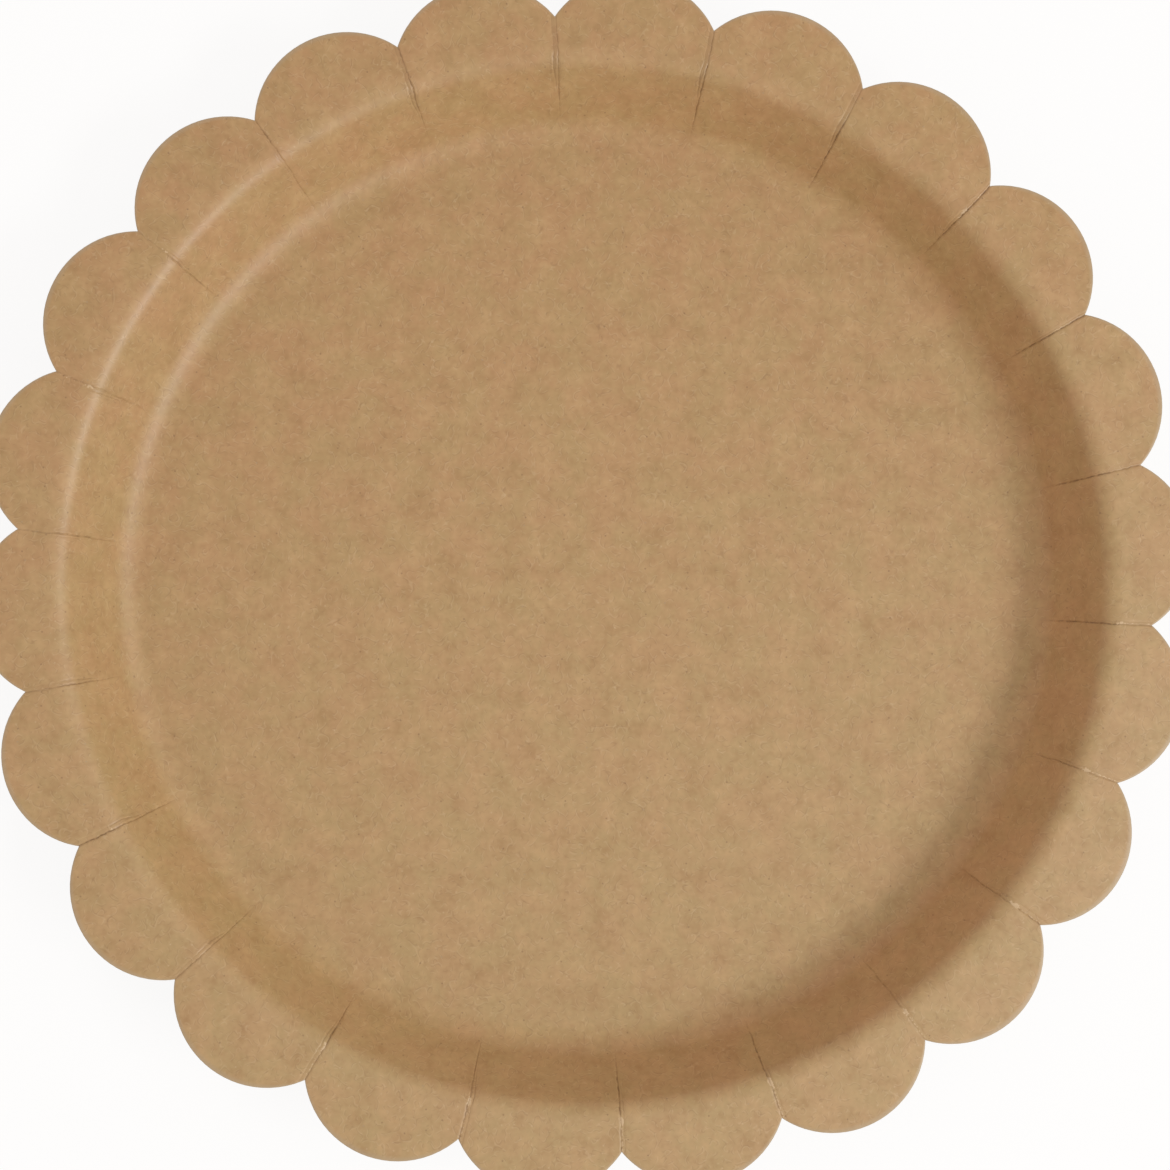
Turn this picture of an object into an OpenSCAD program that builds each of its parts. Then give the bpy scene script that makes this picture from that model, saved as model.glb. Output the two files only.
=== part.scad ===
// A round pressed-board plate: a flat floor, a sloped wall and a rim cut into petals,
// with the spare board of the blank gathered into one pressed pleat between each two petals.
// Millimetres, +Z up. The origin is on the table, under the middle of the floor.

/* [Plate] */
// Diameter across the tips of opposite petals
plate_d = 230; // [200:1:260]
// Height from the table to the highest line of the rim
depth = 15; // [11:0.5:20]
// Thickness of the board
board_t = 0.45; // [0.35:0.05:0.8]

/* [Wall] */
// Slope of the wall above the floor, in degrees
wall_slope = 57; // [48:1:66]
// Radius of the bend between floor and wall, on the upper face
floor_bend_r = 6.5; // [4:0.1:8]

/* [Rim] */
// Width of the rim, from its highest line to a petal's tip
rim_w = 13.6; // [12:0.1:18]
// Radius of the bend between wall and rim, on the upper face
rim_bend_r = 5.3; // [3:0.1:7]
// Radius of the gentle arch that lets the petals droop
rim_arch_r = 280; // [150:5:600]

/* [Petals] */
// Number of petals, with a pleat between each two
petals = 22; // [18:1:26]
// How far the notch between two petals lies inside their tips
notch_in = 7.9; // [5:0.1:10]

/* [Pleats] */
// Width of the gathered strip beside the fold line, on the rim
pleat_w = 0.9; // [0.6:0.1:1.6]
// Width of the gathered strip where it ends, at the foot of the wall
pleat_end_w = 0.4; // [0.3:0.1:0.8]
// How far a pleat's top lies below the upper face of the rim
pleat_sink = 0.16; // [0.12:0.01:0.2]
// Width of the open fold line, which runs from the point of a notch down the wall
fold_w = 0.3; // [0.2:0.05:0.5]
// How far the fold line reaches below the upper face of the rim
fold_deep = 0.32; // [0.24:0.02:0.4]
// How far the gathered board stands out of the underside of the rim
pleat_rib = 0.36; // [0.2:0.02:0.6]
// Angle of the first pleat from +X, in degrees
pleat_turn = 11.55; // [0:0.05:16]

/* [Hidden] */

bend_steps = 5; // straight steps along each bend
arch_steps = 2; // straight steps along the arched rim
reach = 2; // how far a cutting shape reaches past what it cuts
pitch = 360 / petals;
strip_start = -fold_w / 2; // the strip starts where the fold line does, clear of the point of the notch

// the outline: each petal is one arc through its tip and its two notches
tip_r = plate_d / 2;
notch_r = tip_r - notch_in;
petal_half_w = notch_r * sin(pitch / 2);
petal_rise = tip_r - notch_r * cos(pitch / 2);
petal_r = (petal_half_w ^ 2 + petal_rise ^ 2) / (2 * petal_rise);
petal_centre_r = tip_r - petal_r;

// the section: where the upper face turns from floor to wall and from wall to rim
crest_r = tip_r - rim_w;
wall_rise = depth - board_t - (floor_bend_r + rim_bend_r) * (1 - cos(wall_slope));
wall_run = wall_rise / tan(wall_slope);
floor_r = crest_r - (floor_bend_r + rim_bend_r) * sin(wall_slope) - wall_run;
arch_angle = asin((rim_w + reach) / rim_arch_r);

// A line beside the upper face, from the floor's edge to just past the petals. It lies below
// the face by rim_deep, and changes to floor_deep down the floor bend. Less than 0 is above.
function face_line(rim_deep, floor_deep) = concat(
    [for (i = [0 : bend_steps])
        let (a = wall_slope * i / bend_steps, r = floor_bend_r + mix(floor_deep, rim_deep, i / bend_steps))
        [floor_r + r * sin(a), board_t + floor_bend_r - r * cos(a)]],
    [for (i = [bend_steps : -1 : 0])
        let (a = wall_slope * i / bend_steps, r = rim_bend_r - rim_deep)
        [crest_r - r * sin(a), depth - rim_bend_r + r * cos(a)]],
    [for (i = [1 : arch_steps])
        let (a = arch_angle * i / arch_steps, r = rim_arch_r - rim_deep)
        [crest_r + r * sin(a), depth - rim_arch_r + r * cos(a)]]);

function mix(from, to, share) = from + (to - from) * share;

function backwards(line) = [for (i = [len(line) - 1 : -1 : 0]) line[i]];

// half of the plate's section, floor included
module section() {
    polygon(concat([[0, board_t]], face_line(0, 0), backwards(face_line(board_t, board_t)), [[0, 0]]));
}

// seen from above: the petals, and the disc that joins them
module outline() {
    circle(r = petal_centre_r, $fn = 180);
    for (i = [0 : petals - 1])
        rotate(pleat_turn + (i + 0.5) * pitch)
            translate([petal_centre_r, 0])
                circle(r = petal_r, $fn = 120);
}

// A strip along +X that follows the upper face between two lines beside it.
// Seen from above it lies between two lines: floor_edges and rim_edges are its lowest and
// highest Y at the floor and on the rim. The point of the notch is at Y = 0.
module strip(upper, lower, floor_edges, rim_edges) {
    intersection() {
        rotate([90, 0, 0])
            linear_extrude(height = 2 * pleat_w + reach, center = true)
                polygon(concat(upper, backwards(lower)));
        translate([0, 0, -reach])
            linear_extrude(height = depth + 2 * reach)
                polygon([
                    [floor_r, floor_edges[0]], [crest_r, rim_edges[0]], [tip_r + reach, rim_edges[0]],
                    [tip_r + reach, rim_edges[1]], [crest_r, rim_edges[1]], [floor_r, floor_edges[1]]]);
    }
}

// the gathered board under the rim, which thins out inside the board at the floor
module rib() {
    inside = board_t / 2;
    strip(face_line(inside, inside), face_line(board_t + pleat_rib, inside + pleat_sink),
        [strip_start, pleat_end_w], [strip_start, pleat_w]);
}

// the space over a pleat's sunk top, which runs out onto the face at the floor
module sink() {
    strip(face_line(-reach, -reach), face_line(pleat_sink, -pleat_sink / 2),
        [strip_start, pleat_end_w], [strip_start, pleat_w]);
}

// the open line where the board folds under
module fold_line() {
    half = fold_w / 2;
    strip(face_line(-reach, -reach), face_line(fold_deep, -pleat_sink), [-half, half], [-half, half]);
}

module at_each_pleat() {
    for (i = [0 : petals - 1])
        rotate(pleat_turn + i * pitch)
            children();
}

module plate() {
    color("#b89369")
        difference() {
            intersection() {
                union() {
                    rotate_extrude($fn = 180) section();
                    at_each_pleat() rib();
                }
                translate([0, 0, -reach])
                    linear_extrude(height = depth + 2 * reach)
                        outline();
            }
            at_each_pleat() sink();
            at_each_pleat() fold_line();
        }
}

plate();
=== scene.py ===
import math
import random

import bmesh
import bpy
from mathutils import Matrix, Vector


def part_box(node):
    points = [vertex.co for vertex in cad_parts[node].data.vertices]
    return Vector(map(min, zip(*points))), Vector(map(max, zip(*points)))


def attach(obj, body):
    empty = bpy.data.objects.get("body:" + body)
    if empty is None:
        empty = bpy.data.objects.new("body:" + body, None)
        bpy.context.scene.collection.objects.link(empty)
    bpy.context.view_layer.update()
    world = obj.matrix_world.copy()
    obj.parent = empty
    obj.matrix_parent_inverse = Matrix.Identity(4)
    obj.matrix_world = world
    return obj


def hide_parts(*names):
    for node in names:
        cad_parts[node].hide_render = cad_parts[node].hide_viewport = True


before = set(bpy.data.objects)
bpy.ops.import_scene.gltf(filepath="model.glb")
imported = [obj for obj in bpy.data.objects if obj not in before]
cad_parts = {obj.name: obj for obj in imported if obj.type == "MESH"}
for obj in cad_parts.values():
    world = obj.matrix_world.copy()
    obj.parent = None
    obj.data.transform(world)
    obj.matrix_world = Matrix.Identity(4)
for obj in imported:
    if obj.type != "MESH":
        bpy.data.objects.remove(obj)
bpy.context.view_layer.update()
print("frame loaded")

mm = 0.001


def toLinear(hexColour):  # sRGB hex to the linear RGBA that sockets want
    channels = [int(hexColour[i:i + 2], 16) / 255 for i in (1, 3, 5)]
    return [c / 12.92 if c <= 0.04045 else ((c + 0.055) / 1.055) ** 2.4 for c in channels] + [1]


def addNode(tree, kind, settings, links=()):
    # settings set a property by its name, or an input by its name or number
    # links join (input, output socket)
    node = tree.nodes.new(kind)
    for key, value in settings.items():     # properties first, because some of them change the inputs
        if isinstance(key, str) and hasattr(node, key):
            setattr(node, key, value)
    for key, value in settings.items():
        if isinstance(key, int) or not hasattr(node, key):
            node.inputs[key].default_value = value
    for key, socket in links:
        tree.links.new(socket, node.inputs[key])
    return node


def mix(a, b, share):
    return a + (b - a) * share


def smooth(low, high, value):  # 0 below low, 1 above high
    share = min(max((value - low) / (high - low), 0), 1)
    return share * share * (3 - 2 * share)


def hump(value, middle, width):  # 1 at the middle, dying away on both sides
    return math.exp(-((value - middle) / width) ** 2)


# Plate: one mesh, from the section of the pressed board spun round, then moulded into petals and pleats.
# All sizes in mm and degrees.
plate = {
    "petals": 22,
    "firstPleat": 11.55,
    "notchIn": 7.9,         # from the petal tips to the notches
    "board": 0.45,
    "wallSlope": 57,
    "floorBend": 7.0,       # radii on the upper face
    "rimBend": 4.6,
    "rimWidth": 13.6,       # from the crest to the tips
    "rimArch": 280,
    "tipsInside": 0.02,     # keeps the tips inside the solid's box
    "innerRing": 5,         # radius of the flat disc in the middle of the floor
    "floorRows": 4,
    "floorCrowding": 0.8,   # less than 1 crowds the floor's rows towards its edge
    "bendRows": 10,
    "wallRows": 11,
    "rimRows": 15,
    "edgeRow": 0.16,        # the last row but one, this far inside the cut edge
    "cutRound": 0.05,       # how far the cut edge is rolled over
    "bruised": 1.0,         # how far in from the cut edge the knife's mark fades out
    "pressedOff": (0.14, -0.24),    # how far the dies sat off the middle of the cut blank
    "shadedSide": 320,         # the side where the wall lies in shade and its painted shade tint is strongest
    "shadeTintStarts": (-1, 5),        # from the floor's edge, over the bend
    "shadeTintEnds": (-4, -0.5),       # from the crest, over the other bend
}

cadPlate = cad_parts["plate"]
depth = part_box("plate")[1].z / mm
tipRadius = max(v.co.xy.length for v in cadPlate.data.vertices) / mm - plate["tipsInside"]
pitch = 360 / plate["petals"]

# the outline: each petal is one arc through its tip and its two notches
notchRadius = tipRadius - plate["notchIn"]
notchHalf = notchRadius * math.sin(math.radians(pitch / 2))
petalRise = tipRadius - notchRadius * math.cos(math.radians(pitch / 2))
petalRadius = (notchHalf ** 2 + petalRise ** 2) / (2 * petalRise)
petalCentre = tipRadius - petalRadius


def outlineRadius(degrees):  # the edge's distance from the middle, at an angle from a petal's own middle
    angle = math.radians(degrees)
    return petalCentre * math.cos(angle) + math.sqrt(petalRadius ** 2 - (petalCentre * math.sin(angle)) ** 2)


# the section of the upper face, one row after another, from the middle of the floor to a petal's tip
slope = math.radians(plate["wallSlope"])
crest = tipRadius - plate["rimWidth"]
bendRise = (plate["floorBend"] + plate["rimBend"]) * (1 - math.cos(slope))
bendRun = (plate["floorBend"] + plate["rimBend"]) * math.sin(slope)
wallRun = (depth - plate["board"] - bendRise) / math.tan(slope)
floorEdge = crest - bendRun - wallRun
wallFoot = floorEdge + plate["floorBend"] * math.sin(slope)
crestAlong = floorEdge + (plate["floorBend"] + plate["rimBend"]) * slope + wallRun / math.cos(slope)


def sectionRows():
    # each row: radius, height, tilt of the face, how far out it lies on the rim from 0 to 1, and how far it
    # lay from the middle of the blank before the board was pressed
    rows = []
    for i in range(plate["floorRows"]):
        radius = mix(plate["innerRing"], floorEdge, (i / plate["floorRows"]) ** plate["floorCrowding"])
        rows.append((radius, plate["board"], 0, 0, radius))
    for i in range(plate["bendRows"]):
        a = slope * i / plate["bendRows"]
        height = plate["board"] + plate["floorBend"] * (1 - math.cos(a))
        along = floorEdge + plate["floorBend"] * a
        rows.append((floorEdge + plate["floorBend"] * math.sin(a), height, a, 0, along))
    footHeight = plate["board"] + plate["floorBend"] * (1 - math.cos(slope))
    footAlong = floorEdge + plate["floorBend"] * slope
    for i in range(plate["wallRows"]):
        run = wallRun * i / plate["wallRows"]
        height = footHeight + run * math.tan(slope)
        rows.append((wallFoot + run, height, slope, 0, footAlong + run / math.cos(slope)))
    for i in range(plate["bendRows"]):
        a = slope * (1 - i / plate["bendRows"])
        height = depth - plate["rimBend"] * (1 - math.cos(a))
        rows.append((crest - plate["rimBend"] * math.sin(a), height, a, 0, crestAlong - plate["rimBend"] * a))
    for i in range(plate["rimRows"]):
        share = mix(0, 1 - plate["edgeRow"] / plate["rimWidth"], i / (plate["rimRows"] - 1))
        rows.append((crest, depth, 0, share, crestAlong))
    rows.append((crest, depth, 0, 1, crestAlong))
    return rows


# Pleats: the spare board folded under itself and pressed flat. Across a pleat the face comes in from one
# side, rolls down into the open fold line, comes back up onto the sunk strip and ends at a shallow crease.
# Down the wall the strip closes up, until only the fold line is left.
pleat = {
    "closedWidth": 0.3,     # of the strip, where it has closed up
    "openWidth": 0.8,       # of a strip that is fully open
    "closesFrom": 1.5,      # mm inside the crest
    "closesTo": 7.0,
    "spread": 0.3,          # how much wider the strip is on the bend
    "sink": 0.10,
    "foldDeep": 0.24,
    "faintFold": 0.4,       # the depth of the faintest fold line, as a share of the full one
    "creaseDeep": 0.10,
    "openCrease": 0.3,      # the crease of an open strip away from the bend, as a share
    "creaseShade": 0.6,
    "rib": 0.36,            # how far the gathered board stands out below
    "lip": 0.04,            # the rolled edges beside the lines, above the face
    "wander": 0.10,         # how far a line strays sideways
    "slowWave": 0.42,       # its waves, in radians for each mm
    "quickWave": 1.6,
    "ragged": 0.045,        # how far it strays from one row of points to the next
    "fadeIn": 6.5,          # length over which a pleat comes out of the wall
    "valley": 0.08,         # how far the rim is drawn down beside a pleat
    "valleyReach": 3.0,
    "apart": 40,            # between the wrinkles' patterns of two pleats, so that no two are alike
    "rimStarts": (-3.0, 0.5),       # from the crest: here the fold line takes on its strength on the rim
    # places and reaches along the section, from the crest; less than 0 is inside it
    "bulge": (-3.8, 1.8),
    "bend": (-4.0, 2.4),
    "wrinkled": (-2.6, 2.4),
    # the burnished bend: smoother, and with a pale painted highlight
    "glossAndPaintedHighlight": (-2.2, 2.6),
    # places and reaches across the pleat, from the fold line to the strip's side
    "bendFlakes": (0.2, 0.5),
    # where the painted highlight on the lit lip lies, beside the fold line on the rim
    "paintedLipHighlight": (0.22, 0.16),
    "lipHighlightShare": 0.7,        # how strong the painted highlight on the lit lip beside the fold line on the rim is, beside the flakes on the bend
    "wrinkles": (0.4, 1.2),
}

# Each pleat as it came off the press: width of the strip on the rim, the side of the fold line that it lies
# on, strength of the fold line and its painted shade on the wall and on the rim, of the creases on the bend
# and of the cracked fibres there, with the painted highlight on the lip beside the fold on the rim, and the
# painted shade of the strip.
pleatLooks = [
    (0.45, 1, 1.0, 0.5, 0.2, 0.5, 0.2), (0.50, 1, 0.8, 0.8, 0.3, 0.5, 0.3),
    (0.50, 1, 0.9, 1.0, 0.4, 0.7, 0.4), (0.75, 1, 0.8, 0.2, 0.5, 0.2, 0.9),
    (0.80, 1, 0.7, 0.3, 0.7, 0.3, 0.9), (0.85, 1, 0.4, 0.2, 0.7, 0.2, 1.0),
    (0.70, 1, 0.6, 0.5, 0.8, 0.3, 0.8), (0.50, 1, 0.3, 0.6, 0.3, 0.3, 0.3),
    (0.50, -1, 0.5, 0.2, 0.5, 0.5, 0.2), (0.60, 1, 0.3, 0.4, 0.6, 0.7, 0.2),
    (0.50, 1, 0.6, 0.4, 0.2, 0.2, 0.1), (0.80, -1, 0.5, 0.3, 0.7, 0.3, 0.3),
    (0.90, -1, 0.5, 0.9, 0.8, 0.5, 0.2), (0.70, -1, 0.3, 0.3, 0.6, 0.4, 0.2),
    (0.80, -1, 0.6, 0.3, 0.5, 0.8, 0.2), (0.70, 1, 0.4, 0.7, 0.5, 0.8, 0.2),
    (0.60, 1, 0.8, 0.7, 0.3, 1.0, 0.2), (0.60, 1, 0.7, 0.6, 0.3, 1.0, 0.3),
    (0.60, 1, 0.4, 0.2, 0.2, 0.9, 0.1), (0.90, 1, 0.5, 0.6, 0.4, 0.9, 0.2),
    (0.60, 1, 0.7, 0.5, 0.3, 1.0, 0.3), (0.60, 1, 1.0, 0.4, 0.2, 0.8, 0.7),
]

# columns across a pleat: place as (share of the strip's width, mm beside it), then the heights there as
# shares of (the sink, the fold's depth, the crease's depth, the lip), the rib below, and the painted shade
# of fold and strip
columns = [
    (0, -2.60, (0.0, 0.0, 0.0, 0.0), 0.0, 0.0, 0.0),
    (0, -1.60, (0.0, 0.0, 0.0, 0.0), 0.0, 0.0, 0.0),
    (0, -0.90, (0.0, 0.0, 0.0, 0.1), 0.0, 0.0, 0.0),
    (0, -0.50, (0.0, 0.0, 0.4, 0.5), 0.2, 0.0, 0.0),
    (0, -0.22, (0.0, 0.0, 0.0, 1.0), 0.8, 0.1, 0.0),
    (0, -0.09, (0.1, 0.5, 0.0, 0.4), 1.0, 0.7, 0.3),
    (0, 0.00, (0.4, 1.0, 0.0, 0.0), 1.0, 1.0, 0.6),
    (0, 0.09, (0.8, 0.5, 0.0, 0.0), 1.0, 0.7, 0.9),
    (0, 0.19, (1.0, 0.1, 0.0, 0.0), 1.0, 0.1, 1.0),
    (0.3, 0.12, (0.9, 0.0, 0.0, 0.0), 1.0, 0.0, 1.0),
    (0.7, 0.02, (0.9, 0.0, 0.0, 0.0), 1.0, 0.0, 0.9),
    (1, -0.06, (1.0, 0.0, 0.4, 0.0), 1.0, 0.0, 0.9),
    (1, 0.02, (0.8, 0.0, 1.0, 0.0), 1.0, 0.0, 0.6),
    (1, 0.12, (0.3, 0.0, 0.4, 0.3), 0.9, 0.0, 0.2),
    (1, 0.28, (0.0, 0.0, 0.0, 0.6), 0.5, 0.0, 0.0),
    (1, 0.60, (0.0, 0.0, 0.4, 0.2), 0.0, 0.0, 0.0),
    (1, 0.90, (0.0, 0.0, 0.0, 0.1), 0.0, 0.0, 0.0),
    (1, 1.50, (0.0, 0.0, 0.0, 0.0), 0.0, 0.0, 0.0),
    (1, 2.40, (0.0, 0.0, 0.0, 0.0), 0.0, 0.0, 0.0),
]
petalColumns = 18           # between two pleats


def drawPleats(rowCount):
    # what the list above doesn't say of each pleat is left to chance, the same each time
    random.seed(7)
    drawn = []
    for width, side, onWall, onRim, creases, cracks, strip in pleatLooks:
        drawn.append({
            "width": width,
            "side": side,
            "onWall": onWall,
            "onRim": onRim,
            "creases": creases,
            "cracks": cracks,
            "strip": strip,
            "phase": random.uniform(0, 2 * math.pi),
            "wander": pleat["wander"] * random.uniform(0.4, 1),
            "ends": random.uniform(1.5, 4.5),              # mm up from the floor's edge
            "turn": random.gauss(0, 0.03),                 # degrees out of its place in the ring
            "cracksAt": crest - random.uniform(0.4, 1.6),
            "crackReach": random.uniform(0.9, 1.7),
            "ragged": [random.gauss(0, pleat["ragged"]) for row in range(rowCount)],
            "opened": [random.uniform(0.5, 1.25) for row in range(rowCount)],     # the fold's mouth
        })
    return drawn


def nearCrest(zone, radius):  # 1 in the middle of one of the zones along the section
    place, reach = pleat[zone]
    return hump(radius, crest + place, reach)


def nearFold(zone, look, fromFold):  # 1 in the middle of one of the zones across the pleat
    place, reach = pleat[zone]
    return hump(fromFold, place * look["side"], reach)


def pleatLine(look, radius, row):
    # width, presence of the folded board and sideways place of one pleat at a distance from the middle
    opened = smooth(crest - pleat["closesTo"], crest - pleat["closesFrom"], radius)
    width = mix(pleat["closedWidth"], look["width"], opened)
    width += pleat["spread"] * look["creases"] * nearCrest("bulge", radius)
    lowEnd = floorEdge + look["ends"]
    present = smooth(lowEnd, lowEnd + pleat["fadeIn"], radius)
    slow = math.sin(radius * pleat["slowWave"] + look["phase"])
    quick = math.sin(radius * pleat["quickWave"] + 2 * look["phase"])
    stray = look["wander"] * slow + (look["wander"] / 2 * quick + look["ragged"][row])
    return width, present, stray * present


def pleatColumn(look, c):
    # a column of the table above, mirrored where the strip is on the fold line's other side
    if look["side"] > 0:
        return columns[c]
    part, past, heights, ribShare, dark, strip = columns[-1 - c]
    return -part, -past, heights, ribShare, dark, strip


def spinSection(rows, steps):
    bm = bmesh.new()
    rowLayer = bm.verts.layers.int.new("row")
    chain = []
    for i, row in enumerate(rows):
        vert = bm.verts.new(((row[0] + row[3] * plate["rimWidth"]) * mm, 0, row[1] * mm))
        vert[rowLayer] = i
        chain.append(vert)
    edges = [bm.edges.new(pair) for pair in zip(chain, chain[1:])]
    bmesh.ops.spin(
        bm, geom=chain + edges, cent=(0, 0, 0), axis=(0, 0, 1), angle=2 * math.pi,
        steps=steps, use_merge=True)
    bmesh.ops.recalc_face_normals(bm, faces=bm.faces)
    return bm, rowLayer


def mouldBoard(bm, rowLayer, rows, steps):
    # moves every point of the spun face to its place, and hangs a second skin below it
    looks = drawPleats(len(rows))
    perPetal = len(columns) + petalColumns
    marked = ("foldShade", "stripShade", "flakesAndPaintedHighlight", "cutEdge", "glossAndPaintedHighlight", "paintedShadeTint")
    layers = {name: bm.verts.layers.float.new(name) for name in marked}
    blankLayer = bm.verts.layers.float_vector.new("blank")
    # across the pleat, out from the middle, and how much it wrinkles
    besideLayer = bm.verts.layers.float_vector.new("beside")
    upper = list(bm.verts)
    copied = bmesh.ops.duplicate(bm, geom=bm.verts[:] + bm.edges[:] + bm.faces[:])
    lower = [v for v in copied["geom"] if isinstance(v, bmesh.types.BMVert)]
    lowerFaces = [f for f in copied["geom"] if isinstance(f, bmesh.types.BMFace)]
    bmesh.ops.reverse_faces(bm, faces=lowerFaces)
    for skin, verts in (("upper", upper), ("lower", lower)):
        for v in verts:
            column = round(math.degrees(math.atan2(v.co.y, v.co.x)) % 360 / 360 * steps) % steps
            k, c = divmod(column, perPetal)
            place, blank, beside, marks = mouldPoint(rows, v[rowLayer], k, c, looks, skin)
            v.co = place
            v[blankLayer] = blank
            v[besideLayer] = beside
            for name, value in marks.items():
                v[layers[name]] = value


def pressPleat(look, row, c, radius, out):
    # one point of a pleat: mm across from the pleat's middle line, mm from its fold line, how far the face is
    # sunk there, how far the rib stands out below, strength of the wrinkles, and the marks
    width, present, stray = pleatLine(look, radius, row)
    part, past, heights, ribShare, dark, strip = pleatColumn(look, c)
    sink, fold, crease, lip = heights
    fromFold = part * width + past
    onBend = nearCrest("bend", out)
    rimFrom, rimTo = pleat["rimStarts"]
    strength = mix(look["onWall"], look["onRim"], smooth(crest + rimFrom, crest + rimTo, out)) * present
    opened = smooth(pleat["closedWidth"], pleat["openWidth"], width)
    creased = look["creases"] * onBend + pleat["openCrease"] * opened
    mouth = fold * pleat["foldDeep"] * look["opened"][row]
    drop = (sink * opened * pleat["sink"] + mouth) * mix(pleat["faintFold"], 1, strength) * present
    drop += (crease * creased * pleat["creaseDeep"] - lip * pleat["lip"] * strength) * present
    rib = ribShare * pleat["rib"] * present
    # pale flakes of cracked fibre on the bend, and a painted highlight on the lit lip beside the fold line on
    # the rim
    bendFlakes = nearFold("bendFlakes", look, fromFold) * hump(out, look["cracksAt"], look["crackReach"])
    paintedLipHighlight = pleat["lipHighlightShare"] * nearFold("paintedLipHighlight", look, fromFold) * smooth(crest, crest + 1, out)
    marks = {
        "foldShade": (dark * strength + crease * look["creases"] * onBend * pleat["creaseShade"]) * present,
        "stripShade": strip * opened * look["strip"] * present,
        "flakesAndPaintedHighlight": look["cracks"] * max(bendFlakes, paintedLipHighlight),
    }
    wrinkled = look["creases"] * nearCrest("wrinkled", out) * nearFold("wrinkles", look, fromFold)
    return fromFold + stray, fromFold, drop, rib, wrinkled, marks


def petalAngle(looks, row, k, c, radius):
    # the columns of a petal are spread evenly from the last column of one pleat to the first of the next
    look = looks[k]
    following = looks[(k + 1) % len(looks)]
    reach = max(radius, floorEdge)
    angles = []
    for beside, column in ((look, len(columns) - 1), (following, 0)):
        width, present, stray = pleatLine(beside, radius, row)
        part, past = pleatColumn(beside, column)[:2]
        angles.append(math.degrees((part * width + past + stray) / reach))
    angles[1] += pitch + following["turn"] - look["turn"]
    return mix(angles[0], angles[1], (c - len(columns) + 1) / (petalColumns + 1))


def mouldPoint(rows, row, k, c, looks, skin):
    # where a point of the spun face goes, where it lay on the flat blank, where it lies beside its pleat, and
    # the marks of the press and the knife on it, painted shade and highlights among them
    radius, height, tilt, share, along = rows[row]
    look = looks[k]
    out = radius + share * plate["rimWidth"]
    marks = {"foldShade": 0, "stripShade": 0, "flakesAndPaintedHighlight": 0}
    if c < len(columns):
        across, fromFold, drop, rib, wrinkled, marks = pressPleat(look, row, c, radius, out)
        angle = math.degrees(across / max(radius, floorEdge))
    else:
        fromFold, drop, rib, wrinkled = 0, 0, 0, 0
        angle = petalAngle(looks, row, k, c, radius)
    beside = Vector(((fromFold + pleat["apart"] * k) * mm, out * mm, wrinkled))
    marks["cutEdge"] = max(0, 1 - (1 - share) * plate["rimWidth"] / plate["bruised"])
    # the burnished bend is smoother and carries a pale painted highlight
    marks["glossAndPaintedHighlight"] = nearCrest("glossAndPaintedHighlight", out) if skin == "upper" else 0
    fromPleat = angle + look["turn"]
    if share > 0:
        fromPetal = fromPleat - pitch / 2 if fromPleat > 0 else fromPleat + pitch / 2
        run = share * (outlineRadius(fromPetal) - crest)
        radius = crest + run
        height = depth - run ** 2 / (2 * plate["rimArch"])
        tilt = -run / plate["rimArch"]
        along = crestAlong + run
        nearest = min(abs(fromPleat), abs(fromPleat - pitch)) * math.radians(1) * radius
        height -= pleat["valley"] * hump(nearest, 0, pleat["valleyReach"]) * smooth(0, 0.5, share)
    if skin == "lower":
        drop = plate["board"] + rib
    if share == 1:
        drop += plate["cutRound"] if skin == "upper" else -plate["cutRound"] / 2
    radius += math.sin(tilt) * drop
    height -= math.cos(tilt) * drop
    turned = math.radians(plate["firstPleat"] + k * pitch + fromPleat)
    # painted shade tint: warmer and redder towards the shaded side of the wall, fading out over both bends
    towardsShade = (1 + math.cos(turned - math.radians(plate["shadedSide"]))) / 2
    startLow, startHigh = plate["shadeTintStarts"]
    endLow, endHigh = plate["shadeTintEnds"]
    marks["paintedShadeTint"] = towardsShade * smooth(floorEdge + startLow, floorEdge + startHigh, out)
    marks["paintedShadeTint"] *= 1 - smooth(crest + endLow, crest + endHigh, out)
    off = Vector((*plate["pressedOff"], 0)) * (1 - share)
    place = (Vector((radius * math.cos(turned), radius * math.sin(turned), min(height, depth))) + off) * mm
    blank = Vector((along * math.cos(turned), along * math.sin(turned), 0)) * mm
    return place, blank, beside, marks


def closeBoard(bm, rowLayer, lastRow):
    # joins the two skins at the cut edge, and closes the disc in the middle of the floor on both
    rimEdges = [e for e in bm.edges if e.is_boundary and e.verts[0][rowLayer] == lastRow]
    bmesh.ops.bridge_loops(bm, edges=rimEdges)
    middle = [e for e in bm.edges if e.is_boundary and e.verts[0][rowLayer] == 0]
    filled = bmesh.ops.holes_fill(bm, edges=middle, sides=0)
    bmesh.ops.poke(bm, faces=filled["faces"])
    blankLayer = bm.verts.layers.float_vector["blank"]
    for v in bm.verts:
        if v.co.xy.length < plate["innerRing"] / 2 * mm:
            v[blankLayer] = (v.co.x, v.co.y, 0)
    bmesh.ops.recalc_face_normals(bm, faces=bm.faces)


def putInOrder(bm):
    # the spin makes its edges and faces in another order each run
    bm.verts.index_update()
    for items in (bm.edges, bm.faces):
        inOrder = sorted(items, key=lambda item: sorted(v.index for v in item.verts))
        rank = {item: place for place, item in enumerate(inOrder)}
        items.sort(key=rank.get)


def makePlate():
    rows = sectionRows()
    steps = plate["petals"] * (len(columns) + petalColumns)
    bm, rowLayer = spinSection(rows, steps)
    mouldBoard(bm, rowLayer, rows, steps)
    closeBoard(bm, rowLayer, len(rows) - 1)
    putInOrder(bm)
    mesh = bpy.data.meshes.new("pressedBoard")
    bm.to_mesh(mesh)
    bm.free()
    mesh.shade_smooth()
    piece = bpy.data.objects.new("pressedBoard", mesh)
    bpy.context.scene.collection.objects.link(piece)
    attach(piece, "root")
    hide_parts("plate")
    print("plate moulded:", len(mesh.vertices), "points")
    return piece
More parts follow.
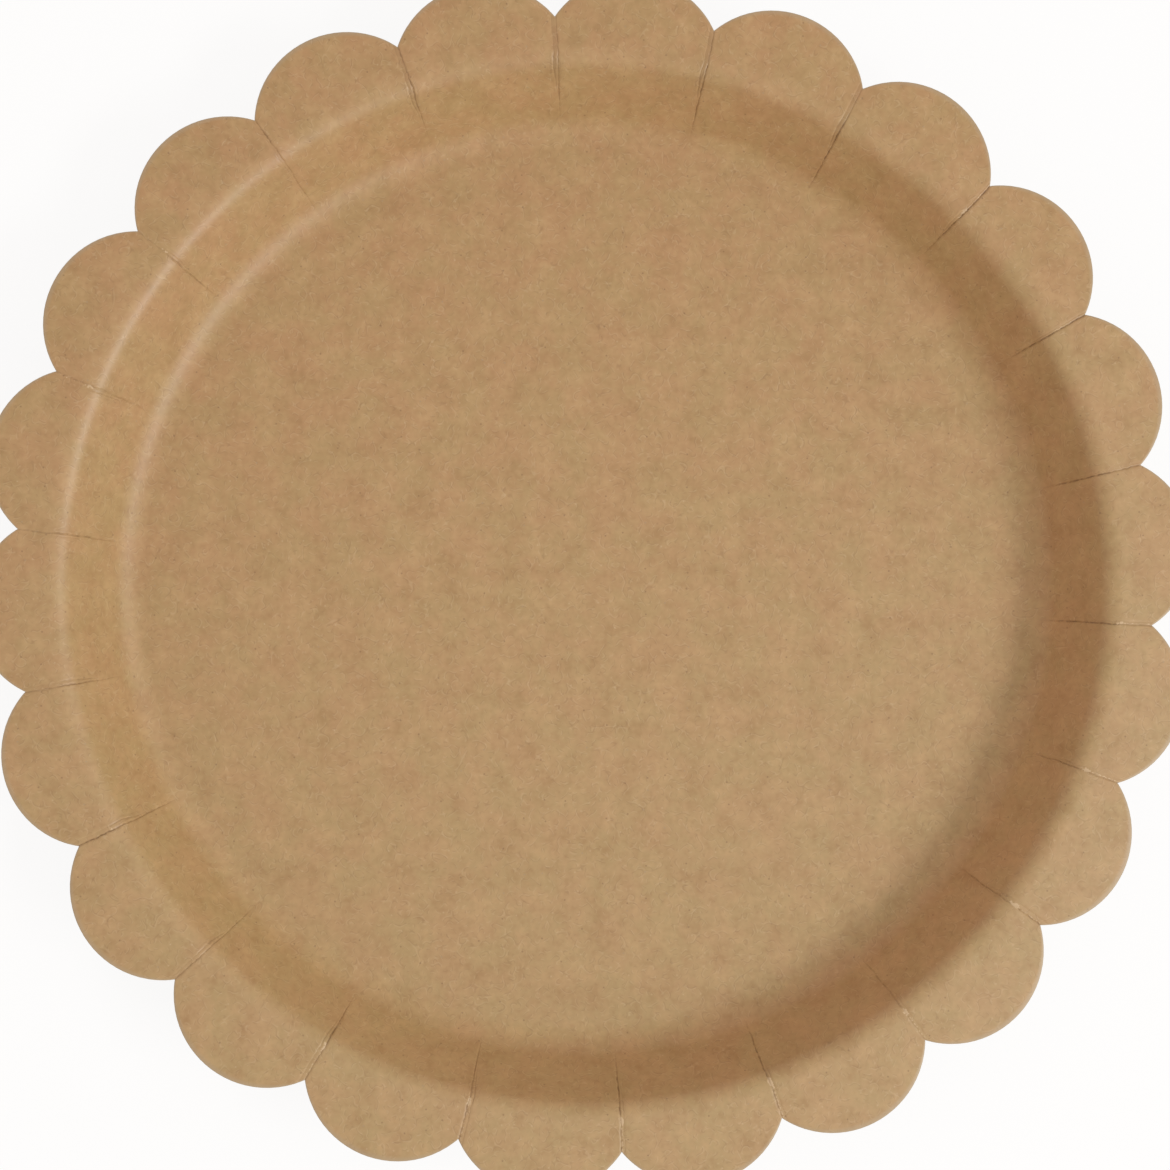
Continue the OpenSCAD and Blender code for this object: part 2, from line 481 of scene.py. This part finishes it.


# Unbleached kraft board, pressed between warm dies: matt brown with soft clouds of redder and greener pulp,
# short fibres lying every way with painted highlight and shade on their sides, and a few dark and pale specks.
# The dies smoothed the outer bend to a faint gloss, and a pale painted highlight lies along it. The wall's
# shaded side gets a painted warmer, redder shade tint.
kraft = {
    "redPulp": "#B38F65",
    "greenPulp": "#AE9365",
    "driftColour": "#B4AC84",
    "palePulp": "#C3A679",
    "darkPulp": "#9C7C50",
    "paleSpeck": "#D1C09F",
    "darkSpeck": "#7C6040",
    "paintedShadeYellow": "#FFFFE9",      # a painted warmer, redder shade tint on the shaded wall; these two multiply what is under them
    "paintedShadeRed": "#FFF0FF",
    # a pale painted highlight along the burnished bend
    "paintedHighlight": "#D1C09F",
    "foldShadow": "#79593B",
    # pale flakes of cracked fibre, and the painted highlight on the lit lip beside the fold line on the rim
    "flakeAndHighlightColour": "#D1BC99",
    "cutEdge": "#AFA085",
    "drift": (0.26, -0.97, 0),      # the colour turns paler and greener this way across the plate
    # noises: size in mm, detail, roughness, and a seed that gives each its own place on the sheet
    "noises": {
        "hueCloud": (10.0, 3, 0.70, 0.0),
        "mottle": (6.0, 3, 0.75, 0.3),
        "grain": (1.4, 1, 0.60, 6.7),
        "fibre": (1.8, 0, 0.60, 1.1),               # how the short fibres curl
        "fibreStretch": (0.99, 0, 0.60, 1.7),       # and where each begins and ends
        "longFibre": (3.06, 0, 0.60, 2.3),
        "longFibreStretch": (1.683, 0, 0.60, 2.9),
        "crackGrain": (0.5, 1, 0.60, 5.2),
        "dash": (1.3, 1, 0.80, 7.4),
        "wrinkle": (0.45, 0, 0.60, 4.4),
        "bump": (0.7, 0, 0.60, 2.6),
    },
    # masks: a noise, its value where the mask starts and its value where the mask is full
    "masks": {
        "greenPulp": ("hueCloud", 0.27, 0.73),
        "paleMottle": ("mottle", 0.48, 0.80),
        "darkMottle": ("mottle", 0.52, 0.20),
        "paleGrain": ("grain", 0.50, 0.80),
        "darkGrain": ("grain", 0.50, 0.20),
        "fibreStretch": ("fibreStretch", 0.50, 0.60),
        "longFibreStretch": ("longFibreStretch", 0.50, 0.60),
        "dashes": ("dash", 0.32, 0.62),
        "wrinkles": ("wrinkle", 0.52, 0.66),
    },
    # more sizes in mm
    "fibreWidth": 0.26,     # drawn some four times too wide, because a real fibre is too fine to show
    "speckSpacing": 4.0,
    "speckRadius": 0.15,
    "wrinkleLength": 2.2,
    "bumpHeight": 0.006,
    # how much of a colour shows where its pattern or mark is strongest
    "driftShare": 0.24,
    "mottleShare": 0.48,
    "grainShare": 0.22,
    "fibreHighlightShare": 0.18,
    "fibreShadeShare": 0.20,
    "paleSpeckShare": 0.3,
    "darkSpeckShare": 0.55,
    "paintedHighlightShare": 0.04,
    "stripShare": 0.22,
    "foldShare": 0.75,
    "flakeAndHighlightShare": 0.8,
    "cutEdgeShare": 0.8,
    "wrinkleShadeShare": 0.3,
    "emptyCells": 0.75,     # the share of the speck pattern's cells that stay empty, for each kind of speck
    "wrinkleBump": 5.0,     # depth of the wrinkles, in heights of the bumps
    "roughness": (0.45, 0.53),      # where the pulp is dark, and where it is pale
    "gloss": 0.03,          # how much smoother the burnished bend is
    "ior": 1.61,
}


def perMm(size):  # a pattern's scale, from the size of one feature in mm
    return 1 / (size * mm)


def kraftBoard():
    # every pattern lies on the blank, so it follows the sheet down the wall and out onto the rim
    material = bpy.data.materials.new("pressedKraftBoard")
    material.use_nodes = True
    tree = material.node_tree
    shader = tree.nodes["Principled BSDF"]

    # what the mesh says of each point: its place on the blank and beside its pleat, and the marks on it,
    # painted shade and highlights among them
    vectors = {
        name: addNode(tree, "ShaderNodeAttribute", {"attribute_name": name}).outputs["Vector"]
        for name in ("blank", "beside")}
    marks = {
        name: addNode(tree, "ShaderNodeAttribute", {"attribute_name": name}).outputs["Fac"]
        for name in ("stripShade", "foldShade", "flakesAndPaintedHighlight", "cutEdge", "glossAndPaintedHighlight", "paintedShadeTint")}

    # the wrinkles' noise is drawn long, to lie along the pleat
    wrinkleStretch = kraft["wrinkleLength"] / kraft["noises"]["wrinkle"][0]
    alongPleat = addNode(
        tree, "ShaderNodeMapping", {"vector_type": "TEXTURE", "Scale": (1, wrinkleStretch, 1)},
        [("Vector", vectors["beside"])]).outputs[0]
    noises = {}
    for name, (size, detail, roughness, seed) in kraft["noises"].items():
        moved = addNode(
            tree, "ShaderNodeVectorMath", {"operation": "ADD", 1: (seed, seed * 1.7, 0)},
            [(0, alongPleat if name == "wrinkle" else vectors["blank"])]).outputs[0]
        noises[name] = addNode(
            tree, "ShaderNodeTexNoise",
            {"noise_dimensions": "2D", "Scale": perMm(size), "Detail": detail, "Roughness": roughness},
            [("Vector", moved)]).outputs["Fac"]
    masks = {}
    for name, (noiseName, starts, full) in kraft["masks"].items():
        masks[name] = addNode(
            tree, "ShaderNodeMapRange",
            {"interpolation_type": "SMOOTHSTEP", "From Min": starts, "From Max": full},
            [("Value", noises[noiseName])]).outputs["Result"]

    # coats: each colour that is laid over what is under it, with its mask, its share and how it is laid
    along = addNode(
        tree, "ShaderNodeVectorMath", {"operation": "DOT_PRODUCT", 1: kraft["drift"]},
        [(0, vectors["blank"])]).outputs["Value"]
    drift = addNode(
        tree, "ShaderNodeMapRange",
        {"interpolation_type": "SMOOTHSTEP", "From Min": -tipRadius * mm, "From Max": tipRadius * mm},
        [("Value", along)]).outputs["Result"]
    coats = [
        (kraft["driftColour"], drift, kraft["driftShare"], "MIX"),
        (kraft["palePulp"], masks["paleMottle"], kraft["mottleShare"], "MIX"),
        (kraft["darkPulp"], masks["darkMottle"], kraft["mottleShare"], "MIX"),
        (kraft["palePulp"], masks["paleGrain"], kraft["grainShare"], "MIX"),
        (kraft["darkPulp"], masks["darkGrain"], kraft["grainShare"], "MIX"),
    ]

    # fibres: each is a short stretch of a contour line of a noise, so it is thin and curls its own way; it has
    # a painted highlight on one side and painted shade on the other, as if it stood up from the sheet
    for name in ("fibre", "longFibre"):
        width = 0.3 * kraft["fibreWidth"] / kraft["noises"][name][0]
        level = addNode(
            tree, "ShaderNodeMath", {"operation": "SUBTRACT", 1: 0.5}, [(0, noises[name])]).outputs[0]
        for kind, side, share in (("paleSpeck", 1, "fibreHighlightShare"), ("darkSpeck", -1, "fibreShadeShare")):
            aside = addNode(
                tree, "ShaderNodeMath", {"operation": "ADD", 1: side * width}, [(0, level)]).outputs[0]
            beyond = addNode(tree, "ShaderNodeMath", {"operation": "ABSOLUTE"}, [(0, aside)]).outputs[0]
            line = addNode(
                tree, "ShaderNodeMapRange",
                {"interpolation_type": "SMOOTHSTEP", "From Min": width, "From Max": width * 0.2},
                [("Value", beyond)]).outputs["Result"]
            fibre = addNode(
                tree, "ShaderNodeMath", {"operation": "MULTIPLY"},
                [(0, line), (1, masks[name + "Stretch"])]).outputs[0]
            coats.append((kraft[kind], fibre, kraft[share], "MIX"))

    # specks of bark and bleached fibre: some of the cells of a Voronoi pattern get a dot each
    moved = addNode(
        tree, "ShaderNodeVectorMath", {"operation": "ADD", 1: (3.1, 3.1, 0)},
        [(0, vectors["blank"])]).outputs[0]
    cells = addNode(
        tree, "ShaderNodeTexVoronoi", {"voronoi_dimensions": "2D", "Scale": perMm(kraft["speckSpacing"])},
        [("Vector", moved)])
    size = kraft["speckRadius"] / kraft["speckSpacing"]
    dot = addNode(
        tree, "ShaderNodeMapRange",
        {"interpolation_type": "SMOOTHSTEP", "From Min": size * 1.6, "From Max": size * 0.6},
        [("Value", cells.outputs["Distance"])]).outputs["Result"]
    picked = addNode(tree, "ShaderNodeSeparateColor", {}, [(0, cells.outputs["Color"])])
    for channel, kind in enumerate(("darkSpeck", "paleSpeck")):
        kept = addNode(
            tree, "ShaderNodeMath", {"operation": "GREATER_THAN", 1: kraft["emptyCells"]},
            [(0, picked.outputs[channel])]).outputs[0]
        speck = addNode(tree, "ShaderNodeMath", {"operation": "MULTIPLY"}, [(0, dot), (1, kept)]).outputs[0]
        coats.append((kraft[kind], speck, kraft[kind + "Share"], "MIX"))

    # painted shade and light, and what the press and the knife did: a painted warmer shade tint on the wall's
    # shaded side, a painted highlight along the burnished bend, painted shade in the sunk strip and in the
    # folds' mouths broken into dashes, flakes of cracked fibre at the bend with a painted highlight on the lit
    # lip beside the fold on the rim, the greyer cut edge, and painted shade in small wrinkles beside a pleat,
    # where the board was crowded on the bend
    # the red part of the painted shade tint, only where the tint is deepest
    deepShadeTint = addNode(
        tree, "ShaderNodeMath", {"operation": "MULTIPLY"},
        [(0, marks["paintedShadeTint"]), (1, marks["paintedShadeTint"])]).outputs[0]
    # painted shade in the folds' mouths, broken into dashes
    mouths = addNode(
        tree, "ShaderNodeMath", {"operation": "MULTIPLY"},
        [(0, marks["foldShade"]), (1, masks["dashes"])]).outputs[0]
    broken = addNode(
        tree, "ShaderNodeMath", {"operation": "ADD"},
        [(0, marks["flakesAndPaintedHighlight"]), (1, noises["crackGrain"])]).outputs[0]
    flakesAndHighlight = addNode(
        tree, "ShaderNodeMapRange", {"interpolation_type": "SMOOTHSTEP", "From Min": 0.95, "From Max": 1.20},
        [("Value", broken)]).outputs["Result"]
    crowded = addNode(tree, "ShaderNodeSeparateXYZ", {}, [(0, vectors["beside"])]).outputs["Z"]
    # painted shade in the small wrinkles beside a pleat; the same mask sinks them in the bump below
    wrinkles = addNode(
        tree, "ShaderNodeMath", {"operation": "MULTIPLY"}, [(0, masks["wrinkles"]), (1, crowded)]).outputs[0]
    coats += [
        (kraft["paintedShadeYellow"], marks["paintedShadeTint"], 1.0, "MULTIPLY"),
        (kraft["paintedShadeRed"], deepShadeTint, 1.0, "MULTIPLY"),
        (kraft["paintedHighlight"], marks["glossAndPaintedHighlight"], kraft["paintedHighlightShare"], "MIX"),
        (kraft["foldShadow"], marks["stripShade"], kraft["stripShare"], "MIX"),
        (kraft["foldShadow"], mouths, kraft["foldShare"], "MIX"),
        (kraft["flakeAndHighlightColour"], flakesAndHighlight, kraft["flakeAndHighlightShare"], "MIX"),
        (kraft["cutEdge"], marks["cutEdge"], kraft["cutEdgeShare"], "MIX"),
        (kraft["foldShadow"], wrinkles, kraft["wrinkleShadeShare"], "MIX"),
    ]
    pulps = {"data_type": "RGBA", 6: toLinear(kraft["redPulp"]), 7: toLinear(kraft["greenPulp"])}
    colour = addNode(tree, "ShaderNodeMix", pulps, [(0, masks["greenPulp"])]).outputs[2]
    for hexColour, mask, share, how in coats:
        amount = addNode(
            tree, "ShaderNodeMath", {"operation": "MULTIPLY", 1: share}, [(0, mask)]).outputs[0]
        colour = addNode(
            tree, "ShaderNodeMix", {"data_type": "RGBA", "blend_type": how, 7: toLinear(hexColour)},
            [(0, amount), (6, colour)]).outputs[2]

    # soft bumps that the light catches, and a roughness that changes with the mottle
    sunk = addNode(
        tree, "ShaderNodeMath", {"operation": "MULTIPLY", 1: kraft["wrinkleBump"]}, [(0, wrinkles)]).outputs[0]
    height = addNode(
        tree, "ShaderNodeMath", {"operation": "SUBTRACT"}, [(0, noises["bump"]), (1, sunk)]).outputs[0]
    bump = addNode(
        tree, "ShaderNodeBump", {"Strength": 1.0, "Distance": kraft["bumpHeight"] * mm}, [("Height", height)])
    matt = addNode(
        tree, "ShaderNodeMapRange", {"To Min": kraft["roughness"][0], "To Max": kraft["roughness"][1]},
        [("Value", noises["mottle"])]).outputs["Result"]
    gloss = addNode(
        tree, "ShaderNodeMath", {"operation": "MULTIPLY", 1: kraft["gloss"]},
        [(0, marks["glossAndPaintedHighlight"])]).outputs[0]
    rough = addNode(tree, "ShaderNodeMath", {"operation": "SUBTRACT"}, [(0, matt), (1, gloss)]).outputs[0]
    tree.links.new(colour, shader.inputs["Base Color"])
    tree.links.new(rough, shader.inputs["Roughness"])
    tree.links.new(bump.outputs["Normal"], shader.inputs["Normal"])
    shader.inputs["IOR"].default_value = kraft["ior"]
    return material


board = makePlate()
board.data.materials.append(kraftBoard())
print("board material made")

# Studio: a pale floor, a white room all round and one wide softbox at the lower right, as the photo's shadows
# and the narrow, far-reaching light on the bends ask for.
studio = {
    "floorColour": "#F8F8F6",
    "floorRoughness": 0.9,
    "floorRadius": 15,          # m
    "floorSides": 64,
    "floorGap": 0.05,           # mm below the plate
    "backdropHeight": 2,        # m, the floor's border is turned up this far, so no view sees past it
    "floorGlow": 0.9,           # share of plain white in what the camera sees of the floor
    "roomLight": 0.737,
    "roomColour": "#FFEDE1",
    "softboxAzimuth": -25,
    "softboxHeight": 39,        # degrees above the plate
    "softboxDistance": 1.5,     # m
    "softboxWidth": 0.84,
    "softboxDepth": 0.32,
    "softboxPower": 10.2,       # W
}


def floorMaterial():
    # pale and matt, and plain white for the most part where the camera sees it, so that the shadow stays
    material = bpy.data.materials.new("paleStudioFloor")
    material.use_nodes = True
    tree = material.node_tree
    shader = tree.nodes["Principled BSDF"]
    shader.inputs["Base Color"].default_value = toLinear(studio["floorColour"])
    shader.inputs["Roughness"].default_value = studio["floorRoughness"]
    white = addNode(tree, "ShaderNodeEmission", {"Strength": 1.0})
    path = addNode(tree, "ShaderNodeLightPath", {})
    seen = path.outputs["Is Camera Ray"]
    for ray in ("Is Glossy Ray", "Is Transmission Ray"):
        links = [(0, seen), (1, path.outputs[ray])]
        seen = addNode(tree, "ShaderNodeMath", {"operation": "MAXIMUM"}, links).outputs[0]
    glow = {"operation": "MULTIPLY", 1: studio["floorGlow"]}
    share = addNode(tree, "ShaderNodeMath", glow, [(0, seen)]).outputs[0]
    links = [(0, share), (1, shader.outputs[0]), (2, white.outputs[0])]
    both = addNode(tree, "ShaderNodeMixShader", {}, links)
    tree.links.new(both.outputs[0], tree.nodes["Material Output"].inputs["Surface"])
    return material


def makeFloor():
    bm = bmesh.new()
    bmesh.ops.create_circle(bm, cap_ends=True, segments=studio["floorSides"], radius=studio["floorRadius"])
    bmesh.ops.translate(bm, verts=bm.verts, vec=(0, 0, -studio["floorGap"] * mm))
    turnedUp = bmesh.ops.extrude_edge_only(bm, edges=bm.edges[:])
    border = [v for v in turnedUp["geom"] if isinstance(v, bmesh.types.BMVert)]
    bmesh.ops.translate(bm, verts=border, vec=(0, 0, studio["backdropHeight"]))
    mesh = bpy.data.meshes.new("floor")
    bm.to_mesh(mesh)
    bm.free()
    floor = bpy.data.objects.new("floor", mesh)
    bpy.context.scene.collection.objects.link(floor)
    mesh.materials.append(floorMaterial())


def makeLights():
    world = bpy.data.worlds.new("whiteRoom")
    bpy.context.scene.world = world
    world.use_nodes = True
    background = world.node_tree.nodes["Background"]
    background.inputs["Color"].default_value = toLinear(studio["roomColour"])
    background.inputs["Strength"].default_value = studio["roomLight"]
    lamp = bpy.data.lights.new("softbox", "AREA")
    lamp.shape = "RECTANGLE"
    lamp.size = studio["softboxWidth"]
    lamp.size_y = studio["softboxDepth"]
    lamp.energy = studio["softboxPower"]
    softbox = bpy.data.objects.new("softbox", lamp)
    bpy.context.scene.collection.objects.link(softbox)
    up = math.radians(studio["softboxHeight"])
    azimuth = math.radians(studio["softboxAzimuth"])
    direction = Vector((math.cos(up) * math.cos(azimuth), math.cos(up) * math.sin(azimuth), math.sin(up)))
    softbox.location = direction * studio["softboxDistance"]
    softbox.rotation_euler = direction.to_track_quat("Z", "Y").to_euler()


# Camera: almost straight above, as in the photo, which cuts off the tips of the petals at its edges.
# Pixels are the photo's own, 1170 to a side.
view = {
    "photoSize": 1170,
    "notchPixels": 569.8,       # radius of the ring of notches
    "middle": (587.9, 577.4),   # where the plate's middle lies
    "distance": 345,            # mm above the rim
    "lean": 2.6,                # degrees off the vertical
    "leanAzimuth": 242,
    "nearest": 0.01,            # m, nothing nearer is drawn
}


def makeCamera():
    mmPerPixel = notchRadius / view["notchPixels"]
    camera = bpy.data.objects.new("camera", bpy.data.cameras.new("camera"))
    bpy.context.scene.collection.objects.link(camera)
    lean = math.radians(view["lean"])
    towards = math.radians(view["leanAzimuth"])
    half = view["photoSize"] / 2
    across, down = view["middle"]
    aim = Vector(((half - across) * mmPerPixel, (down - half) * mmPerPixel, depth)) * mm
    back = Vector((math.sin(lean) * math.cos(towards), math.sin(lean) * math.sin(towards), math.cos(lean)))
    camera.location = aim + back * view["distance"] * mm
    side = Vector((0, 1, 0)).cross(back).normalized()    # keeps the photo's up as the picture's up
    camera.rotation_euler = Matrix((side, back.cross(side), back)).transposed().to_euler()
    camera.data.angle = 2 * math.atan(half * mmPerPixel / view["distance"])
    camera.data.clip_start = view["nearest"]
    bpy.context.scene.camera = camera


makeFloor()
makeLights()
makeCamera()
bpy.context.scene.view_settings.view_transform = "Standard"
print("studio set")
